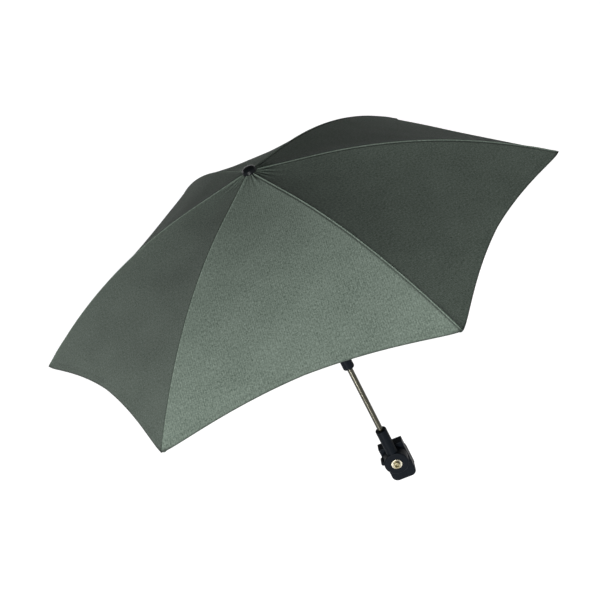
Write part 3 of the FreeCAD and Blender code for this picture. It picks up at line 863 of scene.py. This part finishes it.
def pocket_points(rib, sizes):
    """Thin pouch round a rib's tip: flattened rings whose half width falls off as an eighth power to the end.

    The width narrows with the cube of the way to the end. The rows run out along the outside and back
    along the inside. Both sides sag away from the rib with the slope of the cloth above them."""
    turn = round_steps(POCKET_STEPS)[None, :]
    q = np.linspace(0, 1, POCKET_ROWS)[:, None] ** POCKET_CROWD
    s = rib.length - sizes.pocket_length + q * (sizes.pocket_length + sizes.pocket_end)
    taper = np.sqrt(np.maximum(1 - q ** POCKET_END_POWER, POCKET_LEAST))
    narrow = 1 - sizes.pocket_narrow * q ** 3
    height = sizes.tip_radius + sizes.pocket_wall + POCKET_ROOM
    walls = []
    for inset in (0.0, sizes.pocket_wall):
        side = (sizes.pocket_width - inset) * narrow * taper * np.cos(turn)
        lift = (height - inset) * taper * np.sin(turn) - POCKET_SINK
        reach = np.broadcast_to(s - inset * q, side.shape)
        walls.append(rib.beside(reach, lift - POCKET_SAG * np.abs(side), side))
    return np.concatenate([walls[0], walls[1][::-1]])


def tie_points(rib, sizes, s):
    """One turn of thread: a torus round the rib at arc length s, whose ring reaches up to the cloth."""
    ring_turn = round_steps(TIE_STEPS)[:, None]
    thread_turn = round_steps(THREAD_STEPS)[None, :]
    reach = sizes.tie_radius + sizes.thread * np.cos(thread_turn)
    side = reach * np.sin(ring_turn)
    lift = reach * np.cos(ring_turn) + sizes.lift - sizes.tie_radius
    return rib.beside(s + sizes.thread * np.sin(thread_turn) + 0 * side, lift, side)


def plain_cloth(name, points, faces, rib_number):
    """Small cloth piece at a rib, in the cloth's own material, away from seams and hem."""
    points = on_shaft(turned(points, GORE * (rib_number - 1)))
    piece = make_piece(name, points, faces, cloth_material())
    give_uv(piece, points.reshape(-1, 3)[:, :2])
    for value, amount in PLAIN_VALUES.items():
        give_value(piece, value, np.full(len(piece.data.vertices), amount))
    return piece


class PARASOL_OT_pockets(bpy.types.Operator):
    """Pocket at the tip of each rib and thread ties along it"""
    bl_idname = "parasol.pockets"
    bl_label = "Tip pockets and ties"

    def execute(self, context):
        sizes = cloth_sizes()
        rib = Rib(sizes)
        pocket = pocket_points(rib, sizes)
        turns = [tie_points(rib, sizes, rib.length * share + step * TIE_PITCH * sizes.thread)
                 for share in TIE_PLACES for step in TIE_TURNS]
        loop = closed_faces(TIE_STEPS, THREAD_STEPS)
        ties = np.concatenate([loop + TIE_STEPS * THREAD_STEPS * number for number in range(len(turns))])
        for number in range(1, RIBS + 1):
            pouch = plain_cloth(f"tip_pocket_{number}", pocket, closed_faces(*pocket.shape[:2]), number)
            knots = plain_cloth(f"rib_ties_{number}", np.concatenate(turns), ties, number)
            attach(pouch, f"rib_{number}")
            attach(knots, f"rib_{number}")
        return {"FINISHED"}


def patch_points(rib, sizes, step):
    """Thin sector of cloth under the canopy's crown, round one rib and lapping its neighbours at the cap.

    The canopy's own middle surface, mirrored in the rib's plane and lowered by the drop and the lap's step.
    The sector narrows with the cube of the way to its end.
    The columns go out along the top and back along the bottom."""
    k = np.linspace(0, 1, PATCH_ROWS)[:, None]
    share = np.linspace(-1, 1, PATCH_COLUMNS)[None, :] * (PATCH_SPREAD + (PATCH_END - PATCH_SPREAD) * k ** 3)
    s = sizes.patch_start - HINGE_R + sizes.patch_run * k + 0 * share
    middle, _ = gore_middle(rib, sizes, np.abs(share), s)
    middle[..., 1] *= np.sign(share)
    drop = sizes.patch_drop + step * sizes.patch_lap
    top = middle - np.array([0, 0, drop])
    return ring(top, top - np.array([0, 0, sizes.patch_wall]))


class PARASOL_OT_patches(bpy.types.Operator):
    """Lapped patches of cloth that line the canopy round the crown"""
    bl_idname = "parasol.patches"
    bl_label = "Crown patches"

    def execute(self, context):
        sizes = cloth_sizes()
        rib = Rib(sizes)
        faces = shell_faces(PATCH_ROWS, PATCH_COLUMNS)
        for number in range(1, RIBS + 1):
            points = patch_points(rib, sizes, number % 2)
            piece = plain_cloth(f"crown_patch_{number}", points, faces, number)
            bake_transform(piece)
        return {"FINISHED"}


def cap_profile(sizes):
    """Radius and height along the cap's outline: its foot in the cloth, its lip and a quarter ellipse."""
    seat = CROWN_Z + sizes.lift + sizes.dome
    base = seat + sizes.thickness
    foot = [(POLE_R, seat), (sizes.cap_spigot, seat), (sizes.cap_spigot, base)]
    lip = [(sizes.cap_radius * share, base + height) for share, height in CAP_LIP]
    bow = sizes.cap_rise - sizes.cap_wall
    turn = np.linspace(0, math.pi / 2, DOME_STEPS)[:-1]
    dome = [(sizes.cap_radius * math.cos(a), base + sizes.cap_wall + bow * math.sin(a)) for a in turn]
    return foot + lip + dome + [(POLE_R, base + sizes.cap_rise)]


class PARASOL_OT_cap(bpy.types.Operator):
    """Black dome that holds the cloth on the crown"""
    bl_idname = "parasol.cap"
    bl_label = "Crown cap"

    def execute(self, context):
        profile = cap_profile(cloth_sizes())
        faces = strip_faces(len(profile), CAP_STEPS)[:, ::-1]
        material = polished("polished_black", finishes().cap)
        piece = make_piece("crown_cap", lathe(profile, CAP_STEPS), faces, material)
        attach(piece, "head")
        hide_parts("cap")
        return {"FINISHED"}


def spring_points(low, high, leaf):
    """Open ring of a bowed leaf inside its box: a circle about the x axis that stands on the box's far side.

    Each row is one angle from the ring's front, with the outer edge's two corners, then the inner edge's."""
    radius = (high.z - low.z) / 2
    centre = low.y + radius
    end = math.acos((centre - high.y) / radius)
    turn = np.linspace(-end, end, SPRING_ROWS)[:, None]
    x = np.array([[low.x, high.x]]) + 0 * turn
    walls = []
    for reach in (radius, radius - leaf):
        y = centre - reach * np.cos(turn) + 0 * x
        z = (low.z + high.z) / 2 + reach * np.sin(turn) + 0 * x
        walls.append(np.stack([x, y, z], axis=-1))
    return ring(*walls)


class PARASOL_OT_spring(bpy.types.Operator):
    """Leaf spring under the tilt button"""
    bl_idname = "parasol.spring"
    bl_label = "Button spring"

    def execute(self, context):
        low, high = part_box("tilt_spring")
        points = spring_points(low, high, cloth_sizes().spring_leaf)
        piece = make_piece("leaf_spring", points, shell_faces(SPRING_ROWS, 2), zinc_plate())
        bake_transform(piece)
        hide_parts("tilt_spring")
        return {"FINISHED"}


class PARASOL_OT_hardware(bpy.types.Operator):
    """Finishes of the clip, shaft, knuckle and folding frame"""
    bl_idname = "parasol.hardware"
    bl_label = "Hardware finishes"

    def execute(self, context):
        look = finishes()
        wires = [f"{kind}_{number}" for kind in ("rib", "stretcher") for number in range(1, RIBS + 1)]
        black = moulded("moulded_black", look.plastic, roughness=0.42, grain=1300.0, depth=0.00006)
        rubber = moulded("rubber_liner", look.rubber, roughness=0.78, grain=800.0, depth=0.0001)
        nylon = moulded("grey_nylon", look.nylon, roughness=0.5, grain=900.0, depth=0.00003)
        dress(black, *BLACK_NODES)
        dress(rubber, "clip_liner")
        dress(nylon, "friction_washer")
        dress(metal("yellow_plate", look.bolt, roughness=0.28, streak=PLATED), "pivot_bolt", "bolt_nut")
        dress(zinc_plate(), *ZINC_NODES)
        dress(metal("satin_tube", look.tube, roughness=0.24, streak=DRAWN), "lower_shaft", "upper_shaft")
        dress(enamel("black_enamel", look.enamel), *wires)
        return {"FINISHED"}


def soft_light(name, centre, azimuth, elevation, distance, size, watts):
    """Square area light that looks at the centre from an azimuth and elevation in degrees."""
    a, e = math.radians(azimuth), math.radians(elevation)
    direction = Vector((math.cos(a) * math.cos(e), math.sin(a) * math.cos(e), math.sin(e)))
    light = bpy.data.lights.new(name, "AREA")
    light.energy = watts
    light.size = size
    lamp = bpy.data.objects.new(name, light)
    turn = direction.to_track_quat("Z", "Y").to_matrix().to_4x4()
    lamp.matrix_world = Matrix.Translation(centre + direction * distance) @ turn
    bpy.context.scene.collection.objects.link(lamp)


class PARASOL_OT_stage(bpy.types.Operator):
    """Pale floor, soft lights and the camera"""
    bl_idname = "parasol.stage"
    bl_label = "Studio"

    def execute(self, context):
        studio = context.scene.parasol_studio
        self.floor(studio)
        self.lights(context, studio)
        self.camera(context, studio)
        context.scene.view_settings.view_transform = "Standard"
        return {"FINISHED"}

    def floor(self, studio):
        """Round floor that curves up into a wall."""
        turn = np.linspace(0, math.pi / 2, COVE_STEPS)
        cove = [(FLOOR_R + COVE_R * math.sin(a), studio.floor + COVE_R * (1 - math.cos(a))) for a in turn]
        profile = [(FLOOR_POLE, studio.floor)] + cove + [(FLOOR_R + COVE_R, studio.floor + WALL_H)]
        points = lathe(profile, FLOOR_STEPS)
        faces = strip_faces(len(profile), FLOOR_STEPS)
        paint = Paint("pale_floor", Roughness=0.9, Emission_Strength=FLOOR_GLOW, Emission_Color=(1, 1, 1, 1))
        mottle = paint.noise(paint.place(), FLOOR_MOTTLE, 2.0)
        paint.feed(Base_Color=paint.tint(FLOOR_GREY, 0.98 + mottle * 0.04))
        make_piece("floor", points, faces, paint.material)

    def lights(self, context, studio):
        for name, (height, azimuth, elevation, distance, size, setting) in LIGHTS.items():
            centre = Vector((0, SHAFT_Y, height))
            soft_light(name, centre, azimuth, elevation, distance, size, getattr(studio, setting))
        world = bpy.data.worlds.new("studio_room")
        world.use_nodes = True
        background = world.node_tree.nodes["Background"]
        background.inputs["Color"].default_value = (1, 1, 1, 1)
        background.inputs["Strength"].default_value = studio.sky
        context.scene.world = world

    def camera(self, context, studio):
        """Camera at its distance from the target, by azimuth and elevation, rolled about its view line."""
        a, e, roll = studio.azimuth, studio.elevation, studio.roll
        back = Vector((math.sin(a) * math.cos(e), -math.cos(a) * math.cos(e), math.sin(e)))
        right = Vector((math.cos(a), math.sin(a), 0))
        up = back.cross(right)
        across = right * math.cos(roll) + up * math.sin(roll)
        lens = bpy.data.cameras.new("camera")
        lens.lens = studio.lens
        lens.sensor_width = SENSOR
        camera = bpy.data.objects.new("camera", lens)
        context.scene.collection.objects.link(camera)
        turn = Matrix((across, back.cross(across), back)).transposed().to_4x4()
        camera.matrix_world = Matrix.Translation(Vector(studio.target) + back * studio.distance) @ turn
        context.scene.camera = camera


class PARASOL_PT_panel(bpy.types.Panel):
    """Steps and sizes of the parasol"""
    bl_idname = "PARASOL_PT_panel"
    bl_label = "Pram parasol"
    bl_space_type = "VIEW_3D"
    bl_region_type = "UI"
    bl_category = "Parasol"

    def draw(self, context):
        for step in STEPS:
            self.layout.operator(step.bl_idname)
        for group in GROUPS:
            settings = getattr(context.scene, group)
            for name in GROUPS[group].__annotations__:
                self.layout.prop(settings, name)


GROUPS = {"parasol_cloth": ParasolCloth, "parasol_finish": ParasolFinish, "parasol_studio": ParasolStudio}
STEPS = (PARASOL_OT_pockets, PARASOL_OT_patches, PARASOL_OT_canopy, PARASOL_OT_cap, PARASOL_OT_spring,
         PARASOL_OT_hardware, PARASOL_OT_stage)
CLASSES = (*GROUPS.values(), *STEPS, PARASOL_PT_panel)


def register():
    for made in CLASSES:
        bpy.utils.register_class(made)
    for name, group in GROUPS.items():
        setattr(bpy.types.Scene, name, PointerProperty(type=group))


def unregister():
    for name in GROUPS:
        delattr(bpy.types.Scene, name)
    for made in reversed(CLASSES):
        bpy.utils.unregister_class(made)


def main():
    register()
    bpy.ops.parasol.pockets()
    bpy.ops.parasol.patches()
    bpy.ops.parasol.canopy()
    bpy.ops.parasol.cap()
    bpy.ops.parasol.spring()
    bpy.ops.parasol.hardware()
    bpy.ops.parasol.stage()
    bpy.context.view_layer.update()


if __name__ == "__main__":
    main()
